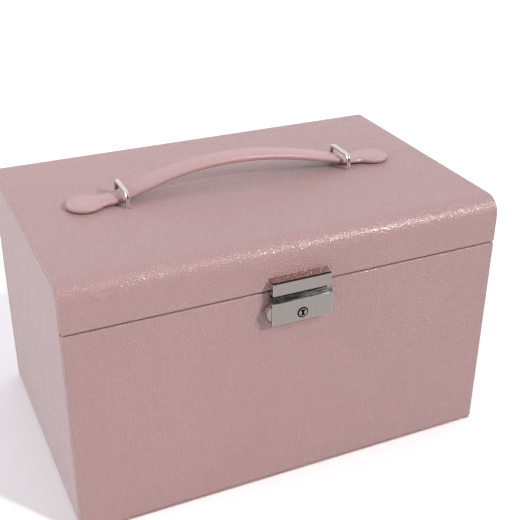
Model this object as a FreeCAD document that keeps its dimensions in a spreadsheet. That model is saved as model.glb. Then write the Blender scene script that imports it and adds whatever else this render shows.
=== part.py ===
"""Pink leatherette jewellery chest: a hinged lid over a lined tray, and a drop-down
front flap over three drawers.

Frame: millimetres, origin at the centre of the underside, +X to the right as seen
from the front, +Y to the back, +Z up. Everything is at rest: lid, flap and drawers
are closed and the handle lies on the lid.
"""
import FreeCAD, Part
import math
import os

import Sketcher

os.makedirs("parts", exist_ok=True)
doc = FreeCAD.newDocument("jewellery_chest")
Vector = FreeCAD.Vector

# ---------------------------------------------------------------- driving dimensions

DIMENSIONS = {
    # case
    "width": 290,            # outside, left to right
    "depth": 190,            # outside, over the lid's and the flap's outer faces
    "height": 175,           # outside, to the top of the lid
    "skin": 4,               # covered board of the lid, flap and back
    "lid_radius": 12,        # rounded long edges of the lid
    "seam": 144,             # height of the seam between lid and flap
    "seam_gap": 0.8,
    "side_board": 5.5,
    "front_gap": 1.2,        # side board to flap and lid lip
    "play": 0.3,             # between neighbours that must not touch
    "edge_round": 1.1,       # rounded edges of covered boards
    "thin_round": 0.7,       # rounded edges of thin boards
    # base
    "cover": 1.2,            # leatherette sheet under the case, the flap's live hinge
    "base_board": 5,
    "bay_floor": 16,         # height of the lowest drawer's floor
    # drawers
    "shelf": 2.4,
    "bay": 32.4,             # clear height of a drawer bay
    "drawer_play": 0.5,      # above and below a drawer
    "drawer_side_play": 0.8,
    "drawer_face": 77,       # drawer fronts' outer face, in front of the centre
    "drawer_back": 86,       # back of the drawer boxes
    "drawer_wall": 3,
    "drawer_floor": 2.5,
    "lining": 1.5,           # velvet pads
    "knob_radius": 4.4,
    "knob_stem": 2.2,
    "knob_length": 8,
    # top tray
    "deck": 3,
    "rail": 4,               # front and back rails of the tray
    "rail_top": 150,
    "divider": 3,
    "divider_top": 152,
    "divider_x": 45,         # long dividers, left and right of the centre
    "ring_rolls": 4,
    "ring_roll_radius": 9.6,
    "ring_roll_pitch": 20,
    # flap and lid linings, mirror
    "flap_pad": 2.5,
    "flap_pad_low": 18,
    "flap_pad_top": 138,
    "lid_pad": 2.5,
    "pad_margin": 9,         # linings, from the outside of the case
    "mirror_half_x": 104,
    "mirror_half_y": 58,
    "mirror": 2,
    "border": 7,
    "border_thick": 3,
    # lid hinges
    "hinge_x": 92,
    "leaf_width": 34,
    "leaf_height": 16,
    "leaf": 1,
    "knuckle": 1.8,
    "hinge_pin": 0.9,
    "pin_play": 0.05,
    "screw": 1,
    "screw_head": 2.1,
    "screw_head_thick": 0.7,
    "screw_depth": 4,
    # handle
    "loop_x": 79,
    "loop_leg": 12.4,        # half the spacing of a loop's legs
    "loop_wire": 1.5,        # radius of the wire
    "loop_height": 10,       # wire's centre above the lid
    "loop_bend": 4.5,
    "loop_tail": 1.2,        # legs, below the lid's board
    "strap": 3.8,
    "strap_lift": 16.2,      # underside of the arch above the lid
    "strap_flat": 76.5,      # where the strap begins to rise
    "strap_half": 8.8,
    "neck_half": 8,
    "strap_taper": 15,       # length over which the neck widens
    "disc_x": 103.4,
    "disc_radius": 12.2,
    # lock
    "hasp_half": 19.5,
    "hasp_front": 6,         # proud of the lid
    "hasp_top": 153.1,
    "hasp_bottom": 143,
    "lock_half": 20.35,
    "lock_front": 7,         # proud of the flap
    "lock_low": 123.3,
    "lock_shoulder": 138.5,
    "lock_top": 142.6,
    "lock_wall": 0.8,
    "lock_plate": 0.8,
    "lock_ledge": 3.6,       # depth of the sloping ledge below the hasp
    "lock_edge": 0.5,
    "hasp_edge": 0.6,
    "part_gap": 0.2,         # between the lock's inner parts
    "tongue_y": 98,
    "tongue": 1.2,
    "tongue_half": 7,
    "tongue_low": 138,
    "tongue_leg": 2,         # width of a leg of the tongue
    "barb": 1.2,             # width and height of a leg's barb
    "slot_gap": 0.35,        # the housing's slot, round the tongue
    "cylinder": 3.1,
    "cylinder_proud": 0.4,
    "cylinder_play": 0.06,
    "cylinder_sink": 0.45,   # depth of the recess round the cylinder
    "cylinder_ring": 0.45,   # width of that recess
    "key_slot_half": 0.7,
    "key_slot_tall": 1.9,    # half its height
    "cam_half": 1.5,
    "cam_thick": 0.6,
    "cam_reach": 6,
    "cylinder_z": 129,
    "button_radius": 5.5,
    "button_z": 131.5,
    "button_proud": 3,
    "button_low": 101,       # front face of the button ears
    "button_high": 97,       # back face of the button ears
    "button_flat": 3,        # from the ear's centre in to its flat
    "seat_x": 9,             # inner face of the spring seat
    "seat_half": 1.8,
    "arm_thick": 0.8,
    "arm_low": 139.8,
    "arm_high": 141,
    "riser_low": 133.5,
    "riser_thick": 1.2,
    "hook_x": 2.6,           # tip of the hook
    "hook_long": 2,
    "hook_low": 139.5,
    "spring_z": 134.5,
    "spring_radius": 1.5,
    "spring_wire": 0.35,
    "spring_x": 0.6,         # fixed end of a spring
    "spring_long": 8.2,
}

sheet = doc.addObject("Spreadsheet::Sheet", "dims")
for row, (alias, number) in enumerate(DIMENSIONS.items(), start=1):
    sheet.set(f"A{row}", alias)
    sheet.set(f"B{row}", str(number))
    sheet.setAlias(f"B{row}", alias)
doc.recompute()


class Size:
    """A length that knows its number and the spreadsheet expression that gives it."""

    def __init__(self, value, text):
        self.value = float(value)
        self.text = text

    def __add__(self, other):
        other = size(other)
        return Size(self.value + other.value, f"({self.text} + {other.text})")

    def __sub__(self, other):
        other = size(other)
        return Size(self.value - other.value, f"({self.text} - {other.text})")

    def __mul__(self, other):
        other = size(other)
        return Size(self.value * other.value, f"({self.text} * {other.text})")

    def __truediv__(self, other):
        other = size(other)
        return Size(self.value / other.value, f"({self.text} / {other.text})")

    def __neg__(self):
        return Size(-self.value, f"(0 - {self.text})")

    def __rsub__(self, other):
        return size(other) - self

    __radd__ = __add__
    __rmul__ = __mul__


def size(number):
    """A plain number as a Size; a Size stays as it is."""
    return number if isinstance(number, Size) else Size(number, f"{float(number):g}")


class Dims:
    """The sheet's cells as Sizes: d.width, d.depth and so on."""

    def __getattr__(self, alias):
        return Size(sheet.get(alias), f"dims.{alias}")


d = Dims()

# ---------------------------------------------------------------- building blocks

nodes = []


def node(piece, label):
    """Name a finished sub-part; its label is also its file's name."""
    piece.Label = label
    nodes.append(piece)
    return piece


def bind(piece, **sizes):
    for name, value in sizes.items():
        piece.setExpression(name, size(value).text)


def place(piece, x=0, y=0, z=0):
    for axis, value in (("x", x), ("y", y), ("z", z)):
        piece.setExpression(f"Placement.Base.{axis}", size(value).text)
    return piece


def block(x, y, z):
    """A sharp cuboid from its (low, high) pairs."""
    piece = doc.addObject("Part::Box", "block")
    bind(piece, Length=x[1] - x[0], Width=y[1] - y[0], Height=z[1] - z[0])
    return place(piece, x[0], y[0], z[0])


TURNS = {
    "x": FreeCAD.Rotation(Vector(0, 1, 0), 90),
    "y": FreeCAD.Rotation(Vector(1, 0, 0), -90),
    "z": FreeCAD.Rotation(),
}


def rod(axis, radius, length, x=0, y=0, z=0):
    """A cylinder along an axis, from the centre of its low end."""
    piece = doc.addObject("Part::Cylinder", "rod")
    piece.Placement = FreeCAD.Placement(Vector(), TURNS[axis])
    bind(piece, Radius=radius, Height=length)
    return place(piece, x, y, z)


def combine(kind, pieces):
    piece = doc.addObject(kind, "combined")
    piece.Shapes = pieces
    return piece


def fuse(*pieces):
    return combine("Part::MultiFuse", pieces)


def common(*pieces):
    return combine("Part::MultiCommon", pieces)


def cut(base, *tools):
    piece = doc.addObject("Part::Cut", "cut")
    piece.Base = base
    piece.Tool = tools[0] if len(tools) == 1 else fuse(*tools)
    return piece


def group(*pieces):
    """Separate solids that share one node."""
    piece = doc.addObject("Part::Compound", "group")
    piece.Links = pieces
    return piece


def body_plane(body, role):
    return next(item for item in body.Origin.OriginFeatures if item.Role == role)


def arc_edge(start, stop, radius, side):
    """The short arc from start to stop that bulges to the right of the way from one
    to the other (side 1) or to the left (side -1), stored counter-clockwise."""
    chord = stop - start
    half = chord.Length / 2
    left = Vector(-chord.y, chord.x, 0).normalize()
    reach = math.sqrt(radius * radius - half * half)
    centre = (start + stop) * 0.5 + left * (reach * side)
    ends = (start, stop)[::side]
    first, last = [math.atan2(end.y - centre.y, end.x - centre.x) for end in ends]
    if last < first:
        last += 2 * math.pi
    return Part.ArcOfCircle(Part.Circle(centre, Vector(0, 0, 1), radius), first, last)


def outline(body, plane, corners, arcs={}, closed=True):
    """A sketch through corners, each a pair of sizes, with every corner bound to the
    sheet. arcs gives edge number: (radius, side) for the edges that are arcs."""
    sketch = body.newObject("Sketcher::SketchObject", "outline")
    sketch.AttachmentSupport = (body_plane(body, plane), [""])
    sketch.MapMode = "FlatFace"
    corners = [(size(u), size(v)) for u, v in corners]
    points = [Vector(u.value, v.value, 0) for u, v in corners]
    count = len(points) if closed else len(points) - 1
    first_end = [2 if i in arcs and arcs[i][1] < 0 else 1 for i in range(count)]
    for i in range(count):
        start, stop = points[i], points[(i + 1) % len(points)]
        if i in arcs:
            radius, side = size(arcs[i][0]), arcs[i][1]
            sketch.addGeometry(arc_edge(start, stop, radius.value, side))
            number = sketch.addConstraint(Sketcher.Constraint("Radius", i, radius.value))
            sketch.setExpression(f"Constraints[{number}]", radius.text)
        else:
            sketch.addGeometry(Part.LineSegment(start, stop))
    for i in range(count if closed else count - 1):
        after = (i + 1) % count
        joint = Sketcher.Constraint("Coincident", i, 3 - first_end[i], after, first_end[after])
        sketch.addConstraint(joint)
    for i, corner in enumerate(corners):
        edge, end = (i, first_end[i]) if i < count else (i - 1, 3 - first_end[i - 1])
        for kind, value in zip(("DistanceX", "DistanceY"), corner):
            joint = Sketcher.Constraint(kind, -1, 1, edge, end, value.value)
            number = sketch.addConstraint(joint)
            sketch.setExpression(f"Constraints[{number}]", value.text)
    return sketch


def pad(body, sketch, length, symmetric=False):
    feature = body.newObject("PartDesign::Pad", "pad")
    feature.Profile = (sketch, [""])
    feature.SideType = "Symmetric" if symmetric else "One side"
    bind(feature, Length=length)
    return feature


def round_edges(body, base, radius, edges=None):
    doc.recompute()
    feature = body.newObject("PartDesign::Fillet", "rounding")
    feature.Base = (base, edges or [f"Edge{i + 1}" for i in range(len(base.Shape.Edges))])
    bind(feature, Radius=radius)
    return feature


def new_body():
    return doc.addObject("PartDesign::Body", "body")


def slab(plane, corners, length, symmetric=False, arcs={}, rounding=None):
    """A body padded from one outline."""
    body = new_body()
    feature = pad(body, outline(body, plane, corners, arcs), length, symmetric)
    if rounding is not None:
        round_edges(body, feature, rounding)
    return body


def board(x, y, z, rounding):
    """A covered board: a cuboid with all its edges rounded."""
    corners = [(x[0], y[0]), (x[1], y[0]), (x[1], y[1]), (x[0], y[1])]
    return place(slab("XY_Plane", corners, z[1] - z[0], rounding=rounding), z=z[0])


def edges_where(shape, test):
    """Names of the edges whose centre of mass passes a test."""
    return [f"Edge{i + 1}" for i, edge in enumerate(shape.Edges) if test(edge.CenterOfMass)]


# ---------------------------------------------------------------- derived places

half_width = d.width / 2
half_depth = d.depth / 2
inner_x = half_width - d.side_board
lip_inner_y = half_depth - d.skin
case_front = -lip_inner_y + d.front_gap          # front edges of the side boards
case_back = lip_inner_y - d.play
top_inner_z = d.height - d.skin
flap_top = d.seam - d.seam_gap / 2
lip_low = d.seam + d.seam_gap / 2
base_top = d.cover + d.base_board
shelf_step = d.bay + d.shelf
deck_low = d.bay_floor + 3 * d.bay + 2 * d.shelf
deck_top = deck_low + d.deck
tray_floor = deck_top + d.lining
rail_front = -(lip_inner_y - d.flap_pad - d.play)
inside_x = (-inner_x, inner_x)


# ---------------------------------------------------------------- case


def case_boards():
    # The underside sheet's front edge is a half round about the flap's hinge axis.
    nose = d.cover / 2
    front, back, side = -half_depth + nose, half_depth - 0.5, half_width - 1
    corners = [(front, 0), (back, 0), (back, d.cover), (front, d.cover)]
    sheet_body = slab("YZ_Plane", corners, 2 * side, symmetric=True)
    half_round = rod("x", nose, 2 * side, x=-side, y=front, z=nose)
    node(fuse(sheet_body, half_round), "base_cover")

    base = board(inside_x, (case_front, case_back), (d.cover, base_top), d.thin_round)
    node(base, "base_panel")
    plinth = board(inside_x, (-d.drawer_face, -d.drawer_face + d.rail),
                   (base_top, d.bay_floor), d.thin_round)
    node(plinth, "plinth_rail")
    node(board((-half_width, half_width), (lip_inner_y, half_depth), (d.cover, flap_top),
               d.edge_round), "back_panel")


def side_panel(label, x_low):
    """A full-height side board whose top corners follow the inside of the lid."""
    top = top_inner_z - d.play
    radius = d.lid_radius - d.skin - d.play
    corners = [(case_front, d.cover), (case_back, d.cover), (case_back, top - radius),
               (case_back - radius, top), (case_front + radius, top),
               (case_front, top - radius)]
    body = slab("YZ_Plane", corners, d.side_board, arcs={2: (radius, 1), 4: (radius, 1)},
                rounding=d.thin_round)
    node(place(body, x=x_low), label)


def shelves():
    front = -d.drawer_face
    for number, label in enumerate(("drawer_shelf_lower", "drawer_shelf_upper")):
        low = d.bay_floor + d.bay + number * shelf_step
        shelf = board(inside_x, (front, case_back), (low, low + d.shelf), d.thin_round)
        node(shelf, label)
    floor = block((-inner_x, inner_x), (front + d.rail, case_back),
                  (d.bay_floor - d.drawer_floor, d.bay_floor))
    node(floor, "drawer_bay_floor")


# ---------------------------------------------------------------- top tray


def tray():
    rail_back = case_back - d.rail
    node(block(inside_x, (rail_front, case_back), (deck_low, deck_top)), "tray_deck")
    node(board(inside_x, (rail_front, rail_front + d.rail), (deck_top, d.rail_top),
               d.edge_round), "tray_front_rail")
    node(board(inside_x, (rail_back, case_back), (deck_top, d.rail_top),
               d.edge_round), "tray_back_rail")
    low_y, high_y = rail_front + d.rail, rail_back
    node(block(inside_x, (low_y, high_y), (deck_top, tray_floor)), "tray_floor_pad")

    half = d.divider / 2
    standing = (tray_floor, d.divider_top)
    for label, x in (("tray_divider_left", -d.divider_x), ("tray_divider_right", d.divider_x)):
        node(board((x - half, x + half), (low_y, high_y), standing, d.thin_round), label)
    between = (half - d.divider_x, d.divider_x - half)
    node(board(between, (-half, half), standing, d.thin_round), "tray_centre_divider")

    left = (-inner_x, -d.divider_x - half)
    rolls = DIMENSIONS["ring_rolls"]
    for number in range(rolls):
        y = low_y + d.ring_roll_pitch * (number + 0.5)
        roll = rod("x", d.ring_roll_radius, left[1] - left[0], x=left[0], y=y,
                   z=tray_floor + d.ring_roll_radius)
        node(roll, f"ring_roll_{number + 1}")
    ring_end = low_y + d.ring_roll_pitch * rolls
    node(board(left, (ring_end, ring_end + d.divider), standing, d.thin_round),
         "ring_tray_divider")


# ---------------------------------------------------------------- drawers


def drawer(label, number):
    """One drawer: front, box, velvet pad and knob. number counts up from the lowest."""
    low = d.bay_floor + number * shelf_step + d.drawer_play
    high = low + d.bay - 2 * d.drawer_play
    side = inner_x - d.drawer_side_play
    box_front = -d.drawer_face + d.drawer_wall
    wall = d.drawer_wall
    box_top = high - 2
    front = board((-side, side), (-d.drawer_face, box_front), (low, high), d.thin_round)
    node(front, f"{label}_front")
    outside = block((-side, side), (box_front, d.drawer_back), (low, box_top))
    inside = block((wall - side, side - wall), (box_front + wall, d.drawer_back - wall),
                   (low + d.drawer_floor, high))
    node(cut(outside, inside), f"{label}_box")
    floor = block((wall - side, side - wall), (box_front + wall, d.drawer_back - wall),
                  (low + d.drawer_floor, low + d.drawer_floor + d.lining))
    node(floor, f"{label}_pad")

    # The knob is turned about Y; its profile runs from the drawer front to its crown.
    body = new_body()
    neck, collar, rim = -d.knob_length * 0.38, -d.knob_length * 0.52, -d.knob_length * 0.74
    crown = d.knob_length + rim
    dome = (d.knob_radius * d.knob_radius + crown * crown) / (2 * crown)
    corners = [(0, 0), (0, d.knob_stem), (neck, d.knob_stem), (collar, d.knob_radius),
               (rim, d.knob_radius), (-d.knob_length, 0)]
    profile = outline(body, "YZ_Plane", corners, arcs={4: (dome, 1)})
    turned = body.newObject("PartDesign::Revolution", "turned")
    turned.Profile = (profile, [""])
    turned.ReferenceAxis = (profile, ["H_Axis"])
    turned.Angle = 360
    node(place(body, y=-d.drawer_face, z=(low + high) / 2), f"{label}_knob")


# ---------------------------------------------------------------- lid


def lid_shell():
    """Top, front lip and back lip in one covered board, with holes for the loops."""
    y, z, yi, zi = half_depth, d.height, lip_inner_y, top_inner_z
    corners = [(-y, lip_low), (-yi, lip_low), (-yi, zi), (yi, zi),
               (yi, lip_low), (y, lip_low), (y, z), (-y, z)]
    body = new_body()
    shell = pad(body, outline(body, "YZ_Plane", corners), d.width, symmetric=True)
    for height, radius in ((z, d.lid_radius), (zi, d.lid_radius - d.skin)):
        doc.recompute()
        long_edges = edges_where(shell.Shape, lambda at: abs(at.x) < 1 and abs(at.y) > yi.value - 1
                                 and abs(at.z - height.value) < 0.01)
        shell = round_edges(body, shell, radius, long_edges)
    doc.recompute()
    ends = edges_where(shell.Shape, lambda at: abs(abs(at.x) - half_width.value) < 0.01)
    lips = edges_where(shell.Shape, lambda at: abs(at.z - lip_low.value) < 0.01)
    round_edges(body, shell, d.edge_round, sorted(set(ends + lips)))
    holes = []
    for x in (-d.loop_x, d.loop_x):
        for y in (-d.loop_leg, d.loop_leg):
            holes.append(rod("z", d.loop_wire + 0.1, 2 * d.skin, x, y, top_inner_z - d.play))
    node(cut(body, *holes), "lid_shell")


def lid_lining():
    """Velvet pad under the lid, with pockets for the loops' fixing plates, the mirror
    and its border."""
    side, reach = half_width - d.pad_margin, lip_inner_y - d.lid_radius
    low = top_inner_z - d.lid_pad
    cushion = block((-side, side), (-reach, reach), (low, top_inner_z))
    pockets = []
    plates = []
    half_x, half_y = d.loop_wire * 3, d.loop_leg + d.loop_wire * 2
    for x in (-d.loop_x, d.loop_x):
        pockets.append(block((x - half_x - 0.5, x + half_x + 0.5), (-half_y - 0.5, half_y + 0.5),
                             (top_inner_z - 1.5, top_inner_z)))
        plate = block((x - half_x, x + half_x), (-half_y, half_y),
                      (top_inner_z - 1.2, top_inner_z))
        legs = [rod("z", d.loop_wire + 0.1, 3, x, y, top_inner_z - 2)
                for y in (-d.loop_leg, d.loop_leg)]
        plates.append(cut(plate, *legs))
    node(cut(cushion, *pockets), "lid_lining")
    node(group(*plates), "loop_fixing_plates")

    x, y = d.mirror_half_x, d.mirror_half_y
    node(block((-x, x), (-y, y), (low - d.mirror, low)), "lid_mirror")
    ring = block((-x - d.border, x + d.border), (-y - d.border, y + d.border),
                 (low - d.border_thick, low))
    opening = block((-x, x), (-y, y), (low - 2 * d.border_thick, low + d.border))
    node(cut(ring, opening), "mirror_border")


def screws(z_leaf_centre, leaf_outer, label):
    """Four screws of a pair of leaves, their heads on the leaves' outer faces."""
    pieces = []
    for x in (-d.hinge_x, d.hinge_x):
        for offset in (-d.leaf_width / 3, d.leaf_width / 3):
            head = rod("y", d.screw_head, d.screw_head_thick, x + offset, leaf_outer,
                       z_leaf_centre)
            shank = rod("y", d.screw, d.screw_depth, x + offset, leaf_outer - d.screw_depth,
                        z_leaf_centre)
            pieces.append(fuse(head, shank))
    node(group(*pieces), label)


def hinges():
    """Two butt hinges on the outside of the back: the case's leaf has the two outer
    knuckles, the lid's leaf the middle one."""
    axis_y, axis_z = half_depth + d.knuckle, d.seam
    leaf_y = (half_depth, half_depth + d.leaf)
    clear = d.knuckle + 0.2
    third = d.leaf_width / 3
    knuckle_gap = 0.15
    case_mid = axis_z - clear - (d.leaf_height - clear) / 2
    lid_mid = axis_z + clear + (d.leaf_height - clear) / 2
    for side, x in (("left", -d.hinge_x), ("right", d.hinge_x)):
        low, high = x - d.leaf_width / 2, x + d.leaf_width / 2
        bore = rod("x", d.hinge_pin + d.pin_play, d.leaf_width + 2, low - 1, axis_y, axis_z)

        def holes(z):
            return [rod("y", d.screw + 0.1, 3, x + offset, half_depth - 1, z)
                    for offset in (-third, third)]

        leaf = block((low, high), leaf_y, (axis_z - d.leaf_height, axis_z - clear))
        barrels = []
        for start in (low, high - third + knuckle_gap):
            span = (start, start + third - knuckle_gap)
            barrels.append(rod("x", d.knuckle, third - knuckle_gap, start, axis_y, axis_z))
            barrels.append(block(span, leaf_y, (axis_z - clear - 0.5, axis_z)))
        solid = fuse(leaf, *barrels)
        node(cut(solid, bore, *holes(case_mid)), f"hinge_case_leaf_{side}")

        leaf = block((low, high), leaf_y, (axis_z + clear, axis_z + d.leaf_height))
        start = low + third + knuckle_gap
        span = (start, start + third - 2 * knuckle_gap)
        barrel = rod("x", d.knuckle, third - 2 * knuckle_gap, start, axis_y, axis_z)
        web = block(span, leaf_y, (axis_z, axis_z + clear + 0.5))
        bore_lid = rod("x", d.hinge_pin + d.pin_play, d.leaf_width + 2, low - 1, axis_y, axis_z)
        node(cut(fuse(leaf, barrel, web), bore_lid, *holes(lid_mid)),
             f"hinge_lid_leaf_{side}")
        node(rod("x", d.hinge_pin, d.leaf_width, low, axis_y, axis_z), f"hinge_pin_{side}")
    leaf_outer = half_depth + d.leaf
    screws(case_mid, leaf_outer, "hinge_case_screws")
    screws(lid_mid, leaf_outer, "hinge_lid_screws")


# ---------------------------------------------------------------- handle


def loop(label, x):
    """A wire loop over the strap's neck; its legs go down through the lid."""
    body = new_body()
    foot = top_inner_z - d.loop_tail
    top = d.height + d.loop_height
    leg, bend = d.loop_leg, d.loop_bend
    route = outline(body, "YZ_Plane",
                    [(-leg, foot), (-leg, top - bend), (bend - leg, top), (leg - bend, top),
                     (leg, top - bend), (leg, foot)],
                    arcs={1: (bend, -1), 3: (bend, -1)}, closed=False)
    section = body.newObject("Sketcher::SketchObject", "section")
    section.AttachmentSupport = (body_plane(body, "XY_Plane"), [""])
    section.MapMode = "FlatFace"
    section.setExpression("AttachmentOffset.Base.z", foot.text)
    section.addGeometry(Part.Circle(Vector(0, -leg.value, 0), Vector(0, 0, 1), d.loop_wire.value))
    section.addConstraint(Sketcher.Constraint("Radius", 0, d.loop_wire.value))
    section.setExpression("Constraints[0]", d.loop_wire.text)
    section.addConstraint(Sketcher.Constraint("PointOnObject", 0, 3, -2))
    section.addConstraint(Sketcher.Constraint("DistanceY", -1, 1, 0, 3, -leg.value))
    section.setExpression("Constraints[2]", (-leg).text)
    pipe = body.newObject("PartDesign::AdditivePipe", "wire")
    pipe.Profile = (section, [""])
    pipe.Spine = (route, [""])
    node(place(body, x=x), label)


def strap():
    """Arched strap with a flat disc at each end: its side view meets its plan."""
    flat, end = d.strap_flat, d.disc_x + d.disc_radius
    low, rise, thick = d.play, d.strap_lift, d.strap
    drop = rise - low
    arch = (flat * flat + drop * drop) / (2 * drop)
    corners = [(-end, low), (-flat, low), (flat, low), (end, low),
               (end, low + thick), (flat, low + thick), (-flat, low + thick),
               (-end, low + thick)]
    reach = 2 * d.disc_radius
    side_view = slab("XZ_Plane", corners, reach, symmetric=True,
                     arcs={1: (arch, -1), 5: (arch, 1)})
    place(side_view, z=d.height)
    neck, half = d.neck_half, d.strap_half
    wide, narrow = d.strap_flat - d.strap_taper, d.strap_flat
    plan = [(-d.disc_x, -neck), (-narrow, -neck), (-wide, -half), (wide, -half),
            (narrow, -neck), (d.disc_x, -neck), (d.disc_x, neck), (narrow, neck),
            (wide, half), (-wide, half), (-narrow, neck), (-d.disc_x, neck)]
    tall = 2 * d.strap_lift
    plan_view = place(slab("XY_Plane", plan, tall), z=d.height)
    discs = [rod("z", d.disc_radius, tall, x, 0, d.height) for x in (-d.disc_x, d.disc_x)]
    node(common(side_view, fuse(plan_view, *discs)), "handle_strap")


# ---------------------------------------------------------------- flap


def flap():
    node(board((-half_width, half_width), (-half_depth, -lip_inner_y),
               (d.cover + d.play, flap_top), d.edge_round), "flap_panel")
    side = half_width - d.pad_margin
    node(board((-side, side), (-lip_inner_y, d.flap_pad - lip_inner_y),
               (d.flap_pad_low, d.flap_pad_top), d.thin_round), "flap_lining")


# ---------------------------------------------------------------- lock


def hasp():
    """Cover on the lid's lip, open behind and below, and the tongue it carries."""
    face, front = -half_depth, -half_depth - d.hasp_front
    brow = d.hasp_top - d.hasp_front / 4
    corners = [(front, d.hasp_bottom), (face, d.hasp_bottom), (face, d.hasp_top), (front, brow)]
    cover = new_body()
    block_pad = pad(cover, outline(cover, "YZ_Plane", corners), 2 * d.hasp_half, symmetric=True)
    doc.recompute()
    seen = edges_where(block_pad.Shape, lambda at: at.y < face.value - 0.1)
    round_edges(cover, block_pad, d.hasp_edge, seen)
    wall = d.lock_wall
    inner = d.hasp_half - wall
    hollow = block((-inner, inner), (front + wall, face + 1), (d.hasp_bottom - 1, brow - wall))
    node(cut(cover, hollow), "hasp_cover")

    # Two legs with inward barbs hang from the tongue's plate.
    y = (-d.tongue_y - d.tongue / 2, -d.tongue_y + d.tongue / 2)
    half, low = d.tongue_half, d.tongue_low
    plate = block((-half, half), y, (low, brow - wall - d.part_gap))
    gap, mouth = half - d.tongue_leg, half - d.tongue_leg - d.barb
    window = block((-gap, gap), y, (low + d.barb, d.hasp_bottom))
    slot = block((-mouth, mouth), y, (low - 1, low + d.barb + 1))
    node(cut(plate, window, slot), "hasp_tongue")


def lock():
    face = -half_depth
    front = face - d.lock_front
    half, wall = d.lock_half, d.lock_wall
    back = face - d.lock_plate
    plate_half = half - wall - d.part_gap
    node(block((-plate_half, plate_half), (back, face), (d.lock_low + 1, d.lock_top - 1)),
         "lock_base_plate")

    # The housing's front slopes back in a ledge below the hasp.
    brow = front + d.lock_ledge
    corners = [(front, d.lock_low), (face, d.lock_low), (face, d.lock_top),
               (brow, d.lock_top), (front, d.lock_shoulder)]
    shell = new_body()
    shell_pad = pad(shell, outline(shell, "YZ_Plane", corners), 2 * half, symmetric=True)
    doc.recompute()
    seen = edges_where(shell_pad.Shape, lambda at: at.y < face.value - 0.1)
    round_edges(shell, shell_pad, d.lock_edge, seen)
    inner = half - wall
    hollow = block((-inner, inner), (front + wall, face + 1),
                   (d.lock_low + wall, d.lock_shoulder - wall))
    throat = block((-inner, inner), (brow + d.lock_edge, face + 1),
                   (d.lock_shoulder - 2 * wall, d.lock_top - wall))
    slot_half = d.tongue / 2 + d.slot_gap
    slot = block((-d.tongue_half - d.slot_gap, d.tongue_half + d.slot_gap),
                 (-d.tongue_y - slot_half, -d.tongue_y + slot_half),
                 (d.tongue_low - 1, d.lock_top + 1))
    bore = rod("y", d.cylinder + d.cylinder_play, 1 + 2 * wall, 0, front - 1, d.cylinder_z)
    sink = rod("y", d.cylinder + d.cylinder_ring, 1 + d.cylinder_sink, 0, front - 1,
               d.cylinder_z)
    window_z = (d.button_z - d.button_radius, d.button_z + d.button_radius)
    windows = [block(x, (-d.button_low - d.play, -d.button_high + d.play), window_z)
               for x in ((-half - 1, 1 - half), (half - 1, half + 1))]
    node(cut(shell, hollow, throat, slot, bore, sink, *windows), "lock_housing")

    # Cylinder with its key slot, and the cam behind it.
    tip, cam_y = front - d.cylinder_proud, back - d.cam_thick - d.part_gap
    barrel = rod("y", d.cylinder, cam_y - tip, 0, tip, d.cylinder_z)
    key_slot = block((-d.key_slot_half, d.key_slot_half), (tip - 1, tip + 2 * wall + 1),
                     (d.cylinder_z - d.key_slot_tall, d.cylinder_z + d.key_slot_tall))
    cam = block((-d.cam_half, d.cam_half), (cam_y, cam_y + d.cam_thick),
                (d.cylinder_z - d.key_slot_tall, d.cylinder_z + d.cam_reach))
    node(cut(fuse(barrel, cam), key_slot), "lock_cylinder")


def lock_button(side, sign):
    """Push button: a rounded ear outside, and inside it a spring seat and an arm whose
    hook holds the tongue's barb. sign is -1 on the left."""
    def span(low, high):
        low, high = size(low), size(high)
        return (low, high) if sign > 0 else (-high, -low)

    centre = d.lock_half + d.button_proud - d.button_radius
    ear_y = (-d.button_low, -d.button_high)
    disc = rod("y", d.button_radius, d.button_low - d.button_high, sign * centre,
               ear_y[0], d.button_z)
    flat = centre - d.button_flat
    into = flat + 1
    keep = block(span(flat, centre + d.button_radius + 1), ear_y,
                 (d.button_z - d.button_radius, d.button_z + d.button_radius))
    seat = block(span(d.seat_x, into), (-d.tongue_y - 2, -d.tongue_y),
                 (d.spring_z - d.seat_half, d.spring_z + d.seat_half))
    arm_back = -half_depth - d.lock_plate - d.part_gap
    arm = block(span(d.hook_x, into), (arm_back - d.arm_thick, arm_back),
                (d.arm_low, d.arm_high))
    riser = block(span(flat, into), (arm_back - d.riser_thick, arm_back),
                  (d.riser_low, d.arm_high))
    hook = block(span(d.hook_x, d.hook_x + d.hook_long),
                 (-d.tongue_y - d.tongue / 2, arm_back), (d.hook_low, d.arm_high))
    node(fuse(common(disc, keep), seat, riser, arm, hook), f"lock_button_{side}")

    length = d.spring_long
    start = d.spring_x if sign > 0 else -d.spring_x - length
    spring_y = -d.tongue_y - 1
    outer = rod("x", d.spring_radius, length, start, spring_y, d.spring_z)
    bore = rod("x", d.spring_radius - d.spring_wire, length, start, spring_y, d.spring_z)
    node(cut(outer, bore), f"lock_spring_{side}")


# ---------------------------------------------------------------- build, check, write

case_boards()
side_panel("side_panel_left", -half_width)
side_panel("side_panel_right", inner_x)
shelves()
tray()
for count, name in enumerate(("lower_drawer", "middle_drawer", "upper_drawer")):
    drawer(name, count)
lid_shell()
lid_lining()
hinges()
loop("handle_loop_left", -d.loop_x)
loop("handle_loop_right", d.loop_x)
strap()
flap()
hasp()
lock()
lock_button("left", -1)
lock_button("right", 1)
doc.recompute()

for item in doc.Objects:
    if "Invalid" in item.State or "Error" in item.State:
        raise RuntimeError(f"{item.Name} ({item.Label}) failed: {item.State}")
for item in nodes:
    if item.Shape.isNull() or not item.Shape.isValid() or not item.Shape.Solids:
        raise RuntimeError(f"{item.Label} has no valid solid")
for item in nodes:
    item.Shape.exportStep(f"parts/{item.Label}.step")
print(f"{len(nodes)} sub-parts written")
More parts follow.
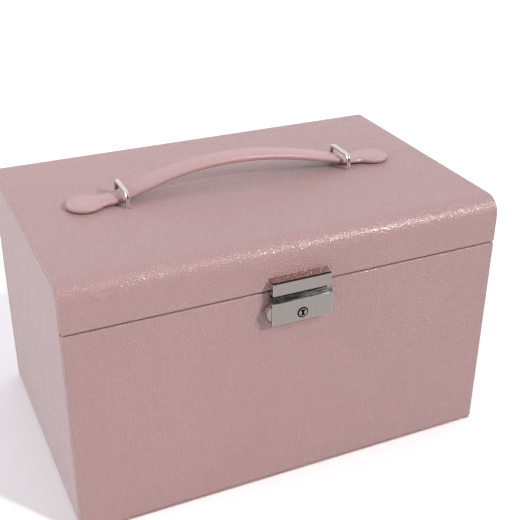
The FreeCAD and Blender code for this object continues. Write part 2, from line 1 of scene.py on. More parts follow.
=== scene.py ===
"""The looks of a pink leatherette jewellery chest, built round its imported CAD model.

Lengths in this file are millimetres, and MM turns them into metres. X runs to the right,
Y to the back and Z up.
"""
import math

import bpy
from mathutils import Matrix, Vector, noise


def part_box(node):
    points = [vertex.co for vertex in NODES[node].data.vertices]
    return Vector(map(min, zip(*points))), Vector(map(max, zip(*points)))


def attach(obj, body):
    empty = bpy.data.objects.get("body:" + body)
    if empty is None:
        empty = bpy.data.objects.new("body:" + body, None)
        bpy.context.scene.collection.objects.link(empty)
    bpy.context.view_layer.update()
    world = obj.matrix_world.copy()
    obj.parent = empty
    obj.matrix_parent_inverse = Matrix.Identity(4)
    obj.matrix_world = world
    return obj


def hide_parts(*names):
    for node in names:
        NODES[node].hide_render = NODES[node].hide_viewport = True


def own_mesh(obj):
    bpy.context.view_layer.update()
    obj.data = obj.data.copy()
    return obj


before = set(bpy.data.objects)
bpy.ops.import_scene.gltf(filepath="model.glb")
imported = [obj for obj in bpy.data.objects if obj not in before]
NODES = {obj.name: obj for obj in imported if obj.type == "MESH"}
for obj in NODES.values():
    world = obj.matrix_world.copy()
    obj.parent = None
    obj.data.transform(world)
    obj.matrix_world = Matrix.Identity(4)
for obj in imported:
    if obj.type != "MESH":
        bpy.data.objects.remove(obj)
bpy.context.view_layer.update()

MM = 0.001


# ---------------------------------------------------------------- camera and lights
CAMERA_PLACE = (-0.2274, -0.5320, 0.4225)
CAMERA_YAW, CAMERA_PITCH, CAMERA_ROLL = 0.4325, 0.4883, 0.0086
SENSOR, LENS = 36.0, 64.73

KEY_WAY = Vector((0.50, -0.68, 0.54))      # from the chest towards the main light
SECOND_WAY = Vector((0.50, -0.54, 0.68))
FILL_WAY = Vector((-0.85, -0.15, 0.50))
CHEST_MIDDLE = Vector((0.0, 0.0, 0.09))
LIGHT_DISTANCE = 1.6
KEY_POWER, SECOND_POWER, FILL_POWER = 1.85, 0.85, 8.5
SUN_ANGLE = math.radians(4.0)
FILL_SIZE = 1.1
SUN_COLOUR, FILL_COLOUR = (1.0, 0.975, 0.955), (0.98, 0.98, 1.0)


def make_camera():
    """A camera at the place and angle that show the front, the top and a little of the left."""
    ahead = Vector((math.sin(CAMERA_YAW) * math.cos(CAMERA_PITCH),
                    math.cos(CAMERA_YAW) * math.cos(CAMERA_PITCH),
                    -math.sin(CAMERA_PITCH)))
    level = Vector((math.cos(CAMERA_YAW), -math.sin(CAMERA_YAW), 0.0))
    upright = level.cross(ahead)
    right = level * math.cos(CAMERA_ROLL) + upright * math.sin(CAMERA_ROLL)
    up = upright * math.cos(CAMERA_ROLL) - level * math.sin(CAMERA_ROLL)
    data = bpy.data.cameras.new("camera")
    data.sensor_width = SENSOR
    data.lens = LENS
    camera = bpy.data.objects.new("camera", data)
    turn = Matrix((right, up, -ahead)).transposed()
    camera.matrix_world = Matrix.Translation(CAMERA_PLACE) @ turn.to_4x4()
    bpy.context.collection.objects.link(camera)
    bpy.context.scene.camera = camera


def make_light(name, kind, way, power, colour):
    """A light that stands off in the direction way and faces the chest."""
    data = bpy.data.lights.new(name, kind)
    data.energy = power
    data.color = colour
    light = bpy.data.objects.new(name, data)
    light.location = CHEST_MIDDLE + way.normalized() * LIGHT_DISTANCE
    light.rotation_mode = "QUATERNION"
    light.rotation_quaternion = way.to_track_quat("Z", "Y")
    bpy.context.collection.objects.link(light)
    return data


make_camera()
bpy.context.scene.view_settings.view_transform = "Standard"
for name, way, power in (("key_light", KEY_WAY, KEY_POWER),
                         ("second_light", SECOND_WAY, SECOND_POWER)):
    sun = make_light(name, "SUN", way, power, SUN_COLOUR)
    sun.angle = SUN_ANGLE
fill = make_light("fill_light", "AREA", FILL_WAY, FILL_POWER, FILL_COLOUR)
fill.shape = "SQUARE"
fill.size = FILL_SIZE


# ---------------------------------------------------------------- node graphs
class Graph:
    """A node tree with a short way to add a node and join it up."""

    def __init__(self, tree):
        self.tree = tree
        tree.nodes.clear()

    def add(self, kind, inputs=(), **settings):
        """One ShaderNode. inputs maps a socket's name or number to a value or a socket."""
        made = self.tree.nodes.new("ShaderNode" + kind)
        for key, value in settings.items():
            setattr(made, key, value)
        for key, value in dict(inputs).items():
            if isinstance(value, bpy.types.NodeSocket):
                self.tree.links.new(value, made.inputs[key])
            else:
                made.inputs[key].default_value = value
        return made

    def math(self, operation, first, second=0.0):
        return self.add("Math", {0: first, 1: second}, operation=operation).outputs[0]

    def span(self, value, low, high, new_low=0.0, new_high=1.0, smooth=False):
        """value, carried from low..high to new_low..new_high and kept between them."""
        kind = "SMOOTHSTEP" if smooth else "LINEAR"
        return self.add("MapRange", {"Value": value, "From Min": low, "From Max": high,
                                     "To Min": new_low, "To Max": new_high},
                        interpolation_type=kind).outputs["Result"]

    def mix(self, share, first, second):
        """Two colours mixed by share."""
        made = self.add("Mix", {0: share}, data_type="RGBA")
        for number, value in ((6, first), (7, second)):
            if isinstance(value, bpy.types.NodeSocket):
                self.tree.links.new(value, made.inputs[number])
            else:
                made.inputs[number].default_value = (*value, 1.0)
        return made.outputs[2]

    def scaled(self, place, x, y, z):
        """The coordinates place, times x, y and z."""
        return self.add("VectorMath", {0: place, 1: (x, y, z)},
                        operation="MULTIPLY").outputs[0]

    def noise(self, place, size, detail=2.0, rough=0.5):
        """Cloudy noise from 0 to 1 whose patches are about size mm across."""
        return self.add("TexNoise", {"Vector": place, "Scale": 1.0 / (size * MM),
                                     "Detail": detail, "Roughness": rough}).outputs[0]

    def bump(self, height, depth, under=None):
        """A surface normal for a relief of depth mm."""
        inputs = {"Height": height, "Distance": depth * MM, "Strength": 1.0}
        if under is not None:
            inputs["Normal"] = under
        return self.add("Bump", inputs).outputs[0]


def material(name):
    """A new material, its graph, and the coordinates of the surface in metres."""
    made = bpy.data.materials.new(name)
    made.use_nodes = True
    graph = Graph(made.node_tree)
    place = graph.add("TexCoord").outputs["Object"]
    return made, graph, place


def finish_surface(graph, inputs):
    """Ends a material in one Principled shader with these inputs."""
    shader = graph.add("BsdfPrincipled", inputs)
    output = graph.add("OutputMaterial")
    graph.tree.links.new(shader.outputs[0], output.inputs[0])


def shade(colour, amount):
    return tuple(c * amount for c in colour)


def leather(name, colour, grain, depth, gloss, streaks):
    """Coated leatherette: pebbles of grain mm parted by creases depth mm deep, over a board
    that isn't quite flat, with faint upright streaks, cloudy differences in tone and painted
    shade in the creases."""
    made, g, place = material(name)
    bend = g.add("TexNoise", {"Vector": place, "Scale": 1.0 / (grain * 2.2 * MM), "Detail": 2.0})
    push = g.add("VectorMath", {0: bend.outputs[1], 1: (0.5, 0.5, 0.5)}, operation="SUBTRACT")
    bent = g.add("VectorMath", {0: push.outputs[0], "Scale": grain * 1.3 * MM},
                 operation="SCALE")
    warped = g.add("VectorMath", {0: place, 1: bent.outputs[0]}, operation="ADD").outputs[0]
    cells = g.add("TexVoronoi", {"Vector": warped, "Scale": 1.0 / (grain * MM),
                                 "Randomness": 1.0}, feature="DISTANCE_TO_EDGE").outputs[0]
    pebble = g.span(cells, 0.0, 0.32, smooth=True)
    pores = g.noise(place, grain * 0.35, 2.0)
    upright = g.scaled(place, 1.0, 1.0, 0.035)
    streak = g.noise(upright, grain * 1.1, 3.0, 0.6)
    clouds = g.noise(place, 55.0, 3.0, 0.55)
    mottle = g.noise(place, grain * 5.0, 3.0, 0.6)

    tone = g.mix(g.span(clouds, 0.3, 0.7), shade(colour, 0.965), shade(colour, 1.03))
    tone = g.mix(g.span(mottle, 0.35, 0.65, 0.0, 0.45), tone, shade(colour, 0.95))
    tone = g.mix(g.span(streak, 0.35, 0.7, 0.0, streaks), tone, shade(colour, 0.88))
    # painted shade: the creases between the pebbles are coloured darker
    crease = g.span(pebble, 0.0, 1.0, 0.34, 0.0)
    tone = g.mix(crease, tone, shade(colour, 0.72))

    dull = g.span(mottle, 0.3, 0.7, gloss - 0.05, gloss + 0.07)
    dull = g.math("ADD", dull, g.span(pebble, 0.0, 1.0, 0.14, 0.0))
    relief = g.math("ADD", g.math("MULTIPLY", pebble, 0.8), g.math("MULTIPLY", pores, 0.25))
    relief = g.math("ADD", relief, g.math("MULTIPLY", streak, streaks))
    board = g.bump(g.noise(place, 38.0, 2.0), 0.22)
    normal = g.bump(relief, depth, board)
    finish_surface(g, {"Base Color": tone, "Roughness": dull, "Normal": normal, "IOR": 1.47,
                       "Coat Weight": COAT_WEIGHT, "Coat Roughness": COAT_DULL,
                       "Coat Normal": g.bump(relief, depth * COAT_RELIEF),
                       "Sheen Weight": 0.05, "Sheen Roughness": 0.5})
    return made


def velvet(name, colour, pile, depth):
    """Short-pile velvet: pile that leans in brushed patches, paler where it is seen edge on."""
    made, g, place = material(name)
    patches = g.noise(g.scaled(place, 1.0, 0.6, 1.0), 16.0, 3.0, 0.6)
    fibre = g.noise(place, pile, 3.0, 0.7)
    tufts = g.noise(place, pile * 4.0, 2.0, 0.6)
    tone = g.mix(g.span(patches, 0.32, 0.68), shade(colour, 0.86), shade(colour, 1.08))
    tone = g.mix(g.span(fibre, 0.3, 0.7, 0.0, 0.5), shade(colour, 0.66), tone)
    rough = g.span(patches, 0.3, 0.7, 0.82, 0.96)
    relief = g.math("ADD", g.math("MULTIPLY", fibre, 0.7), g.math("MULTIPLY", tufts, 0.5))
    finish_surface(g, {"Base Color": tone, "Roughness": rough,
                       "Normal": g.bump(relief, depth), "Specular IOR Level": 0.12,
                       "Sheen Weight": 0.65, "Sheen Roughness": 0.38,
                       "Sheen Tint": (0.98, 0.90, 0.88, 1.0)})
    return made


def painted_lock_shade(g, place):
    """Share of painted shade on the lock: 1 on the ledge under the hasp, round the key
    cylinder, in its key slot and along the hasp's upper edge, and 0 elsewhere. The plating is
    no darker there; the dark colour stands in for shade and for dark things mirrored in these
    hollows."""
    spot = g.add("SeparateXYZ", {0: place})
    x, y, z = (spot.outputs[i] for i in range(3))

    def band(value, low, high, blur=0.12):
        rise = g.span(value, (low - blur) * MM, low * MM)
        return g.math("MULTIPLY", rise, g.span(value, (high + blur) * MM, high * MM))

    dark = band(z, LEDGE_LOW, LEDGE_TOP)
    streaks = g.noise(g.scaled(place, 0.12, 1.0, 1.0), 1.1, 2.0)
    dark = g.math("MULTIPLY", dark, g.span(streaks, 0.3, 0.75, 1.0, 0.80))
    dark = g.math("MAXIMUM", dark, band(z, HASP_EDGE_LOW, HASP_EDGE_TOP))
    up = g.math("SUBTRACT", z, CYLINDER_Z * MM)
    out = g.math("SQRT", g.math("ADD", g.math("MULTIPLY", x, x), g.math("MULTIPLY", up, up)))
    ring = band(out, CYLINDER_RADIUS - RING_INSIDE, CYLINDER_RADIUS + RING_OUTSIDE)
    slot = g.math("MULTIPLY", band(x, -KEY_SLOT_HALF, KEY_SLOT_HALF),
                  band(up, -KEY_SLOT_TALL, KEY_SLOT_TALL))
    wards = g.math("MAXIMUM", band(up, WARD_UPPER, KEY_SLOT_TALL),
                   band(up, -KEY_SLOT_TALL, WARD_LOWER))
    wards = g.math("MULTIPLY", band(x, -WARD_HALF, WARD_HALF), wards)
    dark = g.math("MAXIMUM", dark, g.math("MAXIMUM", ring, g.math("MAXIMUM", slot, wards)))
    return g.math("MULTIPLY", dark, g.span(y, PAINTED_SHADE_BACK * MM, PAINTED_SHADE_FRONT * MM))


def metal(name, colour, gloss, spread, brushed, waves, painted_shade=None):
    """Plated metal with hairline scratches that run along X, handling marks and faint waves.
    For the lock, the last argument gives the share of painted shade in its recesses, and the
    hasp's top gets a painted reflection of the pink lid."""
    made, g, place = material(name)
    handling = g.noise(place, 7.0, 4.0, 0.65)
    hairs = g.noise(g.scaled(place, 0.05, 1.0, 1.0), 0.16, 3.0, 0.6)
    tone = g.mix(g.span(handling, 0.35, 0.7, 0.0, 0.5), colour, shade(colour, 0.90))
    dull = g.span(handling, 0.3, 0.75, gloss, gloss + spread)
    dull = g.math("ADD", dull, g.span(hairs, 0.45, 0.8, 0.0, brushed))
    if painted_shade:
        height = g.add("SeparateXYZ", {0: place}).outputs["Z"]
        # painted reflection of the pink lid on the hasp's upper face
        reflected_pink = g.math("MULTIPLY", g.span(height, REFLECTION_LOW * MM, (REFLECTION_LOW + 0.4) * MM),
                      g.span(height, REFLECTION_TOP * MM, (REFLECTION_TOP - 0.1) * MM))
        tone = g.mix(reflected_pink, tone, PAINTED_PINK_REFLECTION)
        # painted shade: the lock's recesses, key ring and slot are coloured dark
        tone = g.mix(painted_shade(g, place), tone, PAINTED_SHADE_COLOUR)
    wave = g.bump(g.noise(place, 9.0, 1.0), waves)
    normal = g.bump(hairs, brushed * 0.02, wave)
    finish_surface(g, {"Base Color": tone, "Metallic": 1.0, "Roughness": dull,
                       "Normal": normal})
    return made


def mirror(name):
    """Silvered glass with faint wiping marks."""
    made, g, place = material(name)
    wipes = g.noise(g.scaled(place, 1.0, 0.25, 1.0), 12.0, 4.0, 0.65)
    tone = g.mix(g.span(wipes, 0.3, 0.7), (0.86, 0.88, 0.88), (0.80, 0.83, 0.83))
    dull = g.span(wipes, 0.45, 0.8, 0.015, 0.07)
    normal = g.bump(g.noise(place, 60.0, 1.0), 0.03)
    finish_surface(g, {"Base Color": tone, "Metallic": 1.0, "Roughness": dull,
                       "Normal": normal})
    return made


COAT_WEIGHT, COAT_DULL = 0.35, 0.15
COAT_RELIEF = 0.3        # how much of the grain still shows in the coat's gloss
PINK = (0.412, 0.256, 0.254)
# painted shade: colour for the shade and dark reflections in the lock's recesses and gaps
PAINTED_SHADE_COLOUR = (0.035, 0.032, 0.032)
# painted reflection: the pink lid's colour painted on the chrome hasp's upper face
PAINTED_PINK_REFLECTION = (0.46, 0.31, 0.29)        # the hasp's upper face, beside the pink lid
LEDGE_LOW, LEDGE_TOP = 138.7, 142.9      # heights of the lock's ledge below the hasp
HASP_EDGE_LOW, HASP_EDGE_TOP = 151.35, 151.85
REFLECTION_LOW, REFLECTION_TOP = 151.4, 153.3        # heights of that face
CYLINDER_Z, CYLINDER_RADIUS = 129.0, 3.1
# the ring of painted shade round the key cylinder
RING_INSIDE, RING_OUTSIDE = 0.35, 0.5    # reach of the dark ring from the cylinder's edge
KEY_SLOT_HALF, KEY_SLOT_TALL = 0.75, 2.0
WARD_HALF, WARD_UPPER, WARD_LOWER = 1.5, 0.9, -1.2
# the painted shade is kept to the lock's faces in front of these depths
PAINTED_SHADE_BACK, PAINTED_SHADE_FRONT = -97.4, -97.7
ROSE_BEIGE = (0.46, 0.33, 0.31)
FINISHES = {
    "pink_leatherette": leather("leatherette", PINK, 1.6, 0.32, 0.42, 0.35),
    "drawer_leatherette": leather("drawer_skin", PINK, 1.6, 0.32, 0.44, 0.25),
    "handle_leather": leather("strap_skin", shade(PINK, 1.12), 0.7, 0.06, 0.38, 0.10),
    "lining_velvet": velvet("velvet", ROSE_BEIGE, 0.45, 0.25),
    "lined_board": velvet("flocked_board", shade(ROSE_BEIGE, 0.96), 0.32, 0.12),
    "lock_chrome": metal("chrome", (0.74, 0.715, 0.70), 0.06, 0.05, 0.05, 0.012, painted_lock_shade),
    "hinge_nickel": metal("nickel", (0.62, 0.60, 0.57), 0.24, 0.10, 0.12, 0.02),
    "spring_steel": metal("drawn_wire", (0.42, 0.42, 0.43), 0.30, 0.12, 0.15, 0.01),
    "mirror_glass": mirror("silvered_glass"),
}


# ---------------------------------------------------------------- world and floor
WALLS, CEILING = (0.97, 0.97, 1.0), (0.97, 0.94, 1.0)
ROOM_LOW, ROOM_HIGH = (0.50, 0.465, 0.45), (0.13, 0.13, 0.135)
FLOOR_HALF, FLOOR_TOP = 14.0, -0.0003


def make_world():
    """White walls behind and beside the chest, a pale ceiling and a dim room in front, so
    that the metal has light and dark to mirror."""
    world = bpy.data.worlds.new("studio")
    bpy.context.scene.world = world
    world.use_nodes = True
    g = Graph(world.node_tree)
    way = g.add("SeparateXYZ", {0: g.add("TexCoord").outputs["Generated"]})
    above = g.span(way.outputs["Z"], 0.45, 0.9, smooth=True)
    front = g.span(way.outputs["Y"], -0.05, -0.6, smooth=True)
    high = g.span(way.outputs["Z"], -0.35, 0.1, smooth=True)
    tone = g.mix(above, WALLS, CEILING)
    room = g.mix(high, ROOM_LOW, ROOM_HIGH)
    tone = g.mix(front, tone, room)
    light = g.add("Background", {"Color": tone, "Strength": 1.0})
    output = g.add("OutputWorld")
    g.tree.links.new(light.outputs[0], output.inputs[0])


def make_floor():
    """A plain pale sweep of matt board under the chest."""
    half, low = FLOOR_HALF, FLOOR_TOP
    mesh = bpy.data.meshes.new("studio_floor")
    corners = [(-half, -half, low), (half, -half, low), (half, half, low), (-half, half, low)]
    mesh.from_pydata(corners, [], [(0, 1, 2, 3)])
    made, g, place = material("studio_board")
    tone = g.mix(g.noise(place, 220.0, 2.0), (0.965, 0.965, 0.965), (0.98, 0.98, 0.98))
    finish_surface(g, {"Base Color": tone, "Roughness": 0.9, "Specular IOR Level": 0.1,
                       "Normal": g.bump(g.noise(place, 1.5, 2.0), 0.02)})
    mesh.materials.append(made)
    floor = bpy.data.objects.new("studio_floor", mesh)
    floor.visible_glossy = False
    bpy.context.collection.objects.link(floor)


make_world()
make_floor()
for node in NODES.values():
    for holder in node.material_slots:
        holder.material = FINISHES[holder.material.name.split(".")[0]]


# ---------------------------------------------------------------- mesh helpers
def piece(name, points, faces, body, slot, *nodes):
    """A smooth-shaded mesh, its points in mm, that rides on body and stands for nodes."""
    mesh = bpy.data.meshes.new(name)
    mesh.from_pydata([Vector(p) * MM for p in points], [], faces)
    mesh.validate()
    mesh.polygons.foreach_set("use_smooth", [True] * len(mesh.polygons))
    mesh.materials.append(FINISHES[slot])
    made = bpy.data.objects.new(name, mesh)
    bpy.context.collection.objects.link(made)
    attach(made, body)
    if nodes:
        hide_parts(*nodes)
    return made


def cad_corners(name):
    """A CAD node's lowest and highest corners in mm."""
    low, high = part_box(name)
    return low / MM, high / MM


def smooth_step(low, high, value):
    """0 below low, 1 above high, and an easy curve between."""
    share = min(max((value - low) / (high - low), 0.0), 1.0)
    return share * share * (3.0 - 2.0 * share)


def bell(value, width):
    return math.exp(-(value / width) ** 2)


def through(knots, at):
    """A smooth curve through the knots, a list of (place, value), read at one place."""
    for (x0, y0), (x1, y1), (x2, y2), (x3, y3) in zip(
            [knots[0], *knots], knots, knots[1:], [*knots[2:], knots[-1]]):
        if at <= x2:
            break
    span = x2 - x1
    share = (at - x1) / span
    slope1 = (y2 - y0) / (x2 - x0) * span
    slope2 = (y3 - y1) / (x3 - x1) * span
    square, cube = share ** 2, share ** 3
    return ((2 * cube - 3 * square + 1) * y1 + (cube - 2 * square + share) * slope1
            + (3 * square - 2 * cube) * y2 + (cube - square) * slope2)


def marks(half, radius, step, groove):
    """Places from -half to half for the lines of a lattice: close together round the corners
    and beside a sewn groove."""
    turn = [radius * math.tan(math.radians(a)) for a in (12, 24, 35, 45)]
    flat = half - radius
    count = max(2, math.ceil(2 * flat / step))
    inside = [-flat + 2 * flat * i / count for i in range(count + 1)]
    if groove:
        beside = [half - groove + off for off in (-1.0, -0.5, 0.0, 0.5, 1.0)]
        beside += [-b for b in beside]
        inside = [m for m in inside if all(abs(m - b) > 0.45 for b in beside)] + beside
    return sorted([-flat - t for t in turn] + inside + [flat + t for t in turn])


def soft_pad(name, node, body, face, radius, step=3.0, crown=0.0, groove=0.0, depth=0.0,
             ripple=0.0, slip=0.05):
    """A padded, fabric-covered slab in place of node, with round edges. It is crowned on the
    side that face names, "+z" or "-y" for instance, and may have a groove sewn in that far
    from its edge. slip is the gap left to its neighbours."""
    low, high = cad_corners(node)
    middle, half = (low + high) / 2, (high - low) / 2 - Vector((slip,) * 3)
    thin, side = "xyz".index(face[1]), 1.0 if face[0] == "+" else -1.0
    wide = [a for a in range(3) if a != thin]
    radius = min(radius, half[thin] * 0.98)
    lines = [marks(half[a], radius, step if a != thin else 4.0, groove if a != thin else 0.0)
             for a in range(3)]
    ends = [len(line) - 1 for line in lines]
    index, points = {}, []

    def corner(key):
        if key in index:
            return index[key]
        spot = Vector(lines[a][key[a]] for a in range(3))
        inner = Vector(max(min(spot[a], half[a] - radius), radius - half[a]) for a in range(3))
        out = spot - inner
        if out.length > 0:
            spot = inner + out.normalized() * radius
        edge = min(half[a] - abs(spot[a]) for a in wide)
        if spot[thin] * side > 0:
            easy = smooth_step(0.0, min(half[a] for a in wide) * 0.7, edge)
            swell = crown * easy - depth * bell(edge - groove, 0.8) * bool(groove)
            wrinkle = noise.noise(Vector((spot + middle) * 0.045 + Vector((radius, 3, 7))))
            swell += ripple * wrinkle * smooth_step(0.0, 4.0, edge)
            spot[thin] += side * swell
        index[key] = len(points)
        points.append(spot + middle)
        return index[key]

    faces = []
    for axis in range(3):
        u, v = (axis + 1) % 3, (axis + 2) % 3
        for end in (0, ends[axis]):
            for i in range(ends[u]):
                for j in range(ends[v]):
                    keys = []
                    for du, dv in ((0, 0), (1, 0), (1, 1), (0, 1)):
                        key = [0, 0, 0]
                        key[axis], key[u], key[v] = end, i + du, j + dv
                        keys.append(corner(tuple(key)))
                    faces.append(keys if end else keys[::-1])
    made = piece(name, points, faces, body, "lining_velvet", node)
    return made


# ---------------------------------------------------------------- carrying handle
DISC_AT, DISC_RADIUS = 103.4, 12.2
STRAP_TIP = DISC_AT + DISC_RADIUS
STRAP_HALF, NECK_HALF = 8.8, 8.0
STRAP_EDGE = 1.9         # how far the rounding of its edge reaches in
STRAP_GROOVE = 2.7       # edge to the pressed line
GROOVE_DEPTH, GROOVE_WIDTH = 0.34, 0.42
STRAP_CROWN, STRAP_SUNK = 0.30, 0.12
CREASES_AT, CREASES_SPREAD, CREASE_DEPTH = 69.0, 7.0, 0.07
STRAP_RIPPLE = 0.10
LID_TOP = cad_corners("lid_shell")[1].z
UNDERSIDE = [(-116, 0.35), (-104, 0.35), (-92, 0.8), (-79, 2.4), (-62, 7.6), (-48, 11.7),
             (-28, 15.1), (-7, 16.3), (15, 15.3), (37, 12.2), (60, 7.2), (79, 2.4),
             (92, 0.8), (104, 0.35), (116, 0.35)]
THICKNESS = [(-116, 3.3), (-92, 3.4), (-76, 3.6), (-40, 4.0), (0, 4.1), (40, 4.0), (76, 3.6),
             (92, 3.4), (116, 3.3)]


def strap_half_width(x):
    """Half of the strap's width at x: a disc, a neck under the loop, then the wide grip."""
    out = abs(x)
    disc = math.sqrt(max(DISC_RADIUS ** 2 - (out - DISC_AT) ** 2, 0.0))
    grip = NECK_HALF + (STRAP_HALF - NECK_HALF) * smooth_step(74.0, 58.0, out)
    if out > DISC_AT:
        return disc
    join = 1.6           # softens the corner between disc and neck
    gap = disc - grip
    return (disc + grip + math.sqrt(gap * gap + join * join)) / 2 - join / 4


def make_strap():
    """The padded leatherette strap: arched over the lid, flat discs at its ends, a line
    pressed in along its edge, and creases where it bends down to the loops."""
    tips = [DISC_AT + DISC_RADIUS * math.sin(math.radians(a)) for a in range(88, -1, -4)]
    count = 136
    along = [-t for t in tips]
    along += [-DISC_AT + 2 * DISC_AT * i / count for i in range(1, count)]
    along += tips[::-1]
    rows = 28
    across = [-math.cos(math.pi * j / (2 * rows)) for j in range(2 * rows + 1)]
    points, rings = [], []

    def add(x, y, lift):
        slope = (through(UNDERSIDE, min(x + 1, STRAP_TIP))
                 - through(UNDERSIDE, max(x - 1, -STRAP_TIP))) / 2
        lean = math.atan(slope)
        base = LID_TOP + through(UNDERSIDE, x) + through(THICKNESS, x) / 2
        points.append((x - math.sin(lean) * lift, y, base + math.cos(lean) * lift))
        return len(points) - 1

    def profile(x, y, side):
        """Height of the skin over the strap's middle plane; side is 1 on top."""
        edge = strap_half_width(x) - abs(y)
        if abs(x) > DISC_AT:
            edge = DISC_RADIUS - math.hypot(abs(x) - DISC_AT, y)
        edge = max(edge, 0.0)
        thick = through(THICKNESS, x) / 2
        inward = 1.0 - min(edge / STRAP_EDGE, 1.0)
        height = thick * math.sqrt(max(1.0 - inward ** 2.3, 0.0))
        if side > 0:
            height += STRAP_CROWN * smooth_step(STRAP_GROOVE, 7.0, edge) - STRAP_SUNK
            height -= GROOVE_DEPTH * bell(edge - STRAP_GROOVE, GROOVE_WIDTH)
            bend = bell(abs(x) - CREASES_AT, CREASES_SPREAD)
            crease = math.sin(x * 2.1 + y * 0.16 + 1.3 * math.sin(y * 0.5))
            height += CREASE_DEPTH * bend * crease * smooth_step(1.0, 4.0, edge)
            wrinkle = noise.noise(Vector((x * 0.11, y * 0.2, 3.0)))
            height += STRAP_RIPPLE * wrinkle * (1 - inward)
        return side * max(height, 0.0)

    for x in along:
        half = strap_half_width(x)
        ring = [add(x, half * v, profile(x, half * v, 1.0)) for v in across]
        ring += [add(x, half * v, profile(x, half * v, -1.0)) for v in across[-2:0:-1]]
        rings.append(ring)
    faces = []
    size = len(rings[0])
    for first, second in zip(rings, rings[1:]):
        for j in range(size):
            k = (j + 1) % size
            faces.append((first[j], second[j], second[k], first[k]))
    for ring, x, turn in ((rings[0], -STRAP_TIP, 1), (rings[-1], STRAP_TIP, -1)):
        tip = add(x, 0.0, 0.0)
        for j in range(size):
            k = (j + 1) % size
            faces.append((ring[j], ring[k], tip)[::turn])
    made = piece("padded_strap", points, faces, "handle", "handle_leather", "handle_strap")


make_strap()


# ---------------------------------------------------------------- velvet fittings
def make_roll(number):
    """A ring roll: velvet round a foam core, gathered in pleats at both ends."""
    node = f"ring_roll_{number}"
    low, high = cad_corners(node)
    middle, length = (low + high) / 2, high.x - low.x - 0.2
    radius = (high.z - low.z) / 2 - 0.1
    around = 72
    caps = [(1.5, 0.10), (1.3, 0.22), (0.7, 0.45), (0.3, 0.68), (0.25, 0.82), (0.8, 0.93),
            (1.9, 0.985)]
    count = 44
    body = [(3.2 + (length - 6.4) * i / count, 1.0) for i in range(count + 1)]
    line = caps + body + [(length - x, r) for x, r in reversed(caps)]
    points, faces = [], []
    for x, share in line:
        near_end = bell(min(x, length - x), 5.0)
        for j in range(around):
            angle = 2 * math.pi * j / around
            pleat = 0.16 * near_end * math.cos(angle * 18 + number) * min(share * 1.5, 1.0)
            spot = Vector((x * 0.06, math.cos(angle) * 1.2, math.sin(angle) * 1.2 + number * 5))
            swell = 0.22 * noise.noise(spot) - 0.12
            reach = radius * share + (pleat + swell) * share
            points.append((low.x + 0.1 + x, middle.y + math.cos(angle) * reach,
                           middle.z + math.sin(angle) * reach))
    for i in range(len(line) - 1):
        for j in range(around):
            k = (j + 1) % around
            a, b = i * around, (i + 1) * around
            faces.append((a + j, a + k, b + k, b + j))
    for start, depth, turn in ((0, 1.6, -1), (len(points) - around, length - 1.6, 1)):
        points.append((low.x + 0.1 + depth, middle.y, middle.z))
        hub = len(points) - 1
        for j in range(around):
            faces.append((start + j, start + (j + 1) % around, hub)[::turn])
    made = piece(f"velvet_roll_{number}", points, faces, "case", "lining_velvet", node)


def make_mirror_border():
    """A padded velvet edging round the mirror under the lid, puckered at its corners."""
    low, high = cad_corners("mirror_border")
    middle, half = (low + high) / 2, (high - low) / 2
    wide, thick = 3.4, half.z - 0.05
    corner = 8.0
    legs = (half.x - wide - 0.1, half.y - wide - 0.1)
    path = []
    for quarter in range(4):
        sx, sy = ((1, 1), (-1, 1), (-1, -1), (1, -1))[quarter]
        hub = Vector((sx * (legs[0] - corner), sy * (legs[1] - corner), 0.0))
        for step in range(13):
            angle = math.radians(90 * quarter + 7.5 * step)
            out = Vector((math.cos(angle), math.sin(angle), 0.0))
            path.append((hub + out * corner, out))
        nx, ny = ((-1, 1), (-1, -1), (1, -1), (1, 1))[quarter]
        goal = Vector((nx * (legs[0] - corner), ny * (legs[1] - corner), 0.0)) + out * corner
        start = path[-1][0]
        pieces = int((goal - start).length / 2.5)
        path += [(start.lerp(goal, i / pieces), out) for i in range(1, pieces)]
    around = 20
    points, faces = [], []
    for spot, out in path:
        for j in range(around):
            angle = 2 * math.pi * j / around
            y, z = math.cos(angle), math.sin(angle)
            y = math.copysign(abs(y) ** 0.7, y)
            z = math.copysign(abs(z) ** 0.7, z)
            pucker = 1.0 + 0.05 * noise.noise(spot * 0.35 + Vector((0, 0, y)))
            place = spot + out * (y * wide * pucker) + Vector((0, 0, z * thick * pucker * 0.95))
            points.append(place + middle)
    for i in range(len(path)):
        a, b = i * around, (i + 1) % len(path) * around
        for j in range(around):
            k = (j + 1) % around
            faces.append((a + j, b + j, b + k, a + k))
    made = piece("mirror_edging", points, faces, "lid", "lining_velvet", "mirror_border")


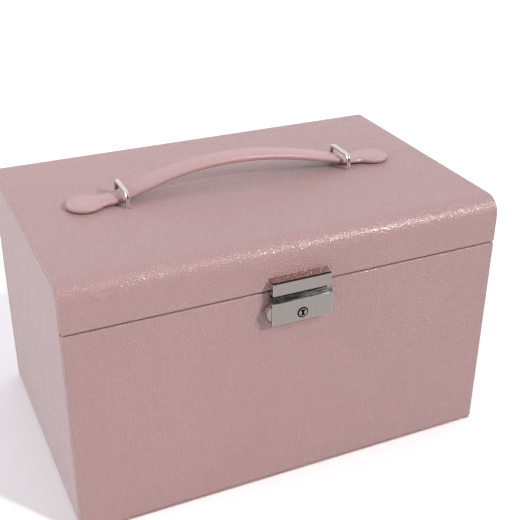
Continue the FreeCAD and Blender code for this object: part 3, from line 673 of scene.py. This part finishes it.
for number in (1, 2, 3, 4):
    make_roll(number)
make_mirror_border()
soft_pad("lid_pad", "lid_lining", "lid", "-z", 1.2, crown=0.5, groove=9.0, depth=0.6,
         ripple=0.3)
soft_pad("flap_pad", "flap_lining", "flap", "+y", 1.2, crown=0.7, groove=9.0, depth=0.7,
         ripple=0.4)
soft_pad("tray_pad", "tray_floor_pad", "case", "+z", 0.7, step=3.5, ripple=0.25)
for level in ("lower", "middle", "upper"):
    soft_pad(f"{level}_pad", f"{level}_drawer_pad", f"{level}_drawer", "+z", 0.7, crown=0.5,
             groove=7.0, depth=0.5, ripple=0.3)
for divider, face in (("tray_divider_left", "+x"), ("tray_divider_right", "+x"),
                      ("tray_centre_divider", "+y"), ("ring_tray_divider", "+y")):
    soft_pad(divider + "_wall", divider, "case", face, 1.4, step=2.5, ripple=0.15, slip=0.1)


# ---------------------------------------------------------------- lock springs
SPRING_TURNS, SPRING_WIRE = 8, 0.26


def make_spring(side):
    """The coil spring behind a push button, as a coil at its full length."""
    node = f"lock_spring_{side}"
    low, high = cad_corners(node)
    middle, length = (low + high) / 2, high.x - low.x - 2 * SPRING_WIRE
    reach = (high.z - low.z) / 2 - SPRING_WIRE
    steps, around = SPRING_TURNS * 20, 8
    rise = length / (2 * math.pi * SPRING_TURNS)
    points, faces = [], []
    for i in range(steps + 1):
        angle = 2 * math.pi * SPRING_TURNS * i / steps
        out = Vector((0.0, math.cos(angle), math.sin(angle)))
        along = Vector((rise, -reach * math.sin(angle), reach * math.cos(angle))).normalized()
        beside = along.cross(out)
        spot = Vector((low.x + SPRING_WIRE + rise * angle, middle.y, middle.z)) + out * reach
        for j in range(around):
            turn = 2 * math.pi * j / around
            points.append(spot + (out * math.cos(turn) + beside * math.sin(turn)) * SPRING_WIRE)
    for i in range(steps):
        a, b = i * around, (i + 1) * around
        for j in range(around):
            k = (j + 1) % around
            faces.append((a + j, b + j, b + k, a + k))
    last = steps * around
    faces += [tuple(range(around)), tuple(range(last + around - 1, last - 1, -1))]
    made = piece(f"coil_spring_{side}", points, faces, "flap", "spring_steel", node)
    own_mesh(made)


for side in ("left", "right"):
    make_spring(side)
